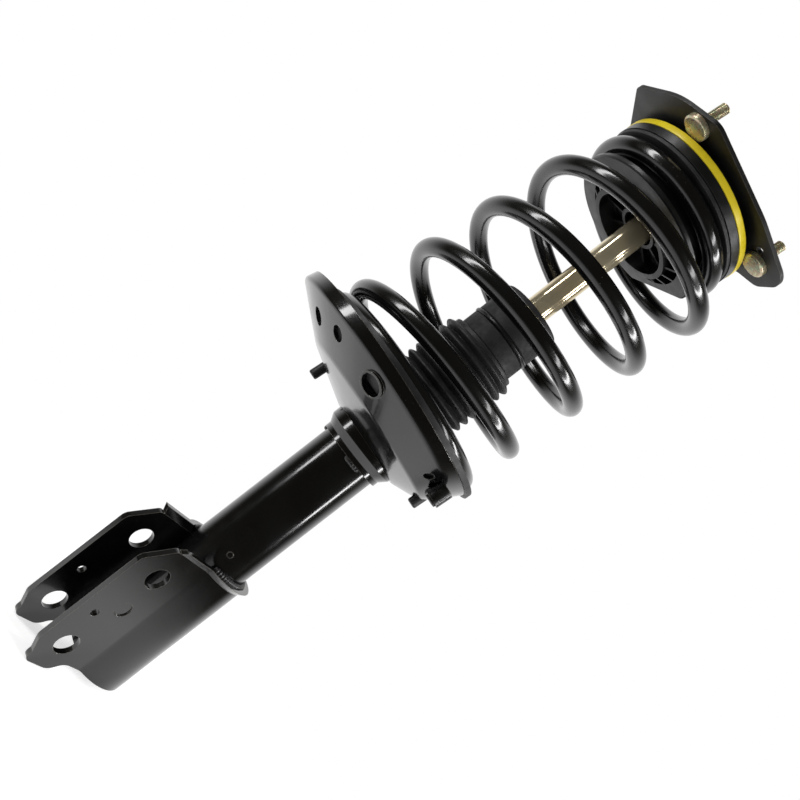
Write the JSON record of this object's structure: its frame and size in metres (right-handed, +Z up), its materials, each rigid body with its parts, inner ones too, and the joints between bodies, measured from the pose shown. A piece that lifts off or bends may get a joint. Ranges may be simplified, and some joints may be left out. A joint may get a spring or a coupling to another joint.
{
  "type": "suspension strut",
  "caption": "Front suspension strut: damper with knuckle bracket, coil spring between two seats, dust boot, steering bearing and studded top mount.",
  "frame": {"origin": "centre of the lower knuckle bolt, midway between the bracket's cheeks", "axes": "+Z up the strut axis, +Y along the knuckle bolts, +X from the damper tube towards the knuckle bolts"},
  "size_m": [0.2019, 0.1884, 0.5747],
  "materials": {
    "paint_black": "gloss",
    "spring_black": "gloss",
    "weld_black": "satin",
    "rod_chrome": "polished",
    "steel": "machined",
    "bearing_steel": "ground",
    "rubber": "matte",
    "foam": "matte",
    "plastic_black": "moulded",
    "plastic_yellow": "moulded",
    "zinc_yellow": "zinc plated",
    "zinc_silver": "zinc plated",
    "seal_rubber": "matte",
    "bush_bronze": "satin",
    "band_plastic": "satin"
  },
  "bodies": {
    "strut_housing": {"housing_tube": "paint_black", "tube_base_cap": "paint_black", "tube_cap": "paint_black", "pressure_tube": "steel", "base_valve": "steel", "rod_guide": "steel", "guide_bush": "bush_bronze", "rod_seal": "seal_rubber", "knuckle_bracket": "paint_black", "bracket_weld": "weld_black", "seat_support_cone": "paint_black", "cone_weld": "weld_black", "lower_spring_seat": "paint_black", "lower_insulator": "rubber", "line_clip": "zinc_yellow", "line_grommet": "rubber", "clip_screw": "zinc_silver", "coil_spring": "spring_black", "dust_boot": "rubber", "jounce_bumper": "foam", "bumper_ring": "plastic_black"},
    "rod": {"piston_rod": "rod_chrome", "rebound_stop": "steel", "piston": "steel", "piston_band": "band_plastic", "valve_shims": "bearing_steel", "piston_nut": "zinc_silver", "upper_spring_seat": "plastic_black", "upper_insulator": "rubber", "bearing_lower_race": "bearing_steel", "mount_sleeve": "steel", "rod_washer": "zinc_silver", "rod_nut": "zinc_silver", "bearing_cage": "band_plastic", "bearing_balls": "bearing_steel"},
    "mount": {"bearing_upper_race": "bearing_steel", "bearing_cap": "plastic_yellow", "mount_plate": "paint_black", "mount_bush": "rubber", "mount_studs": "zinc_yellow"}
  },
  "joints": [
    {"name": "rod_slide", "type": "slide", "parent": "strut_housing", "child": "rod", "axis": [0, 0, 1], "range_m": [-0.12, 0], "stiffness_N_per_m": 25000, "springref_m": 0.04, "deforming": ["coil_spring", "jounce_bumper"]},
    {"name": "steering_bearing", "type": "hinge", "parent": "rod", "child": "mount", "pos_m": [-0.0485, 0, 0.5025], "axis": [-0.1132, 0, 0.9936], "range_deg": [-38, 38]}
  ]
}
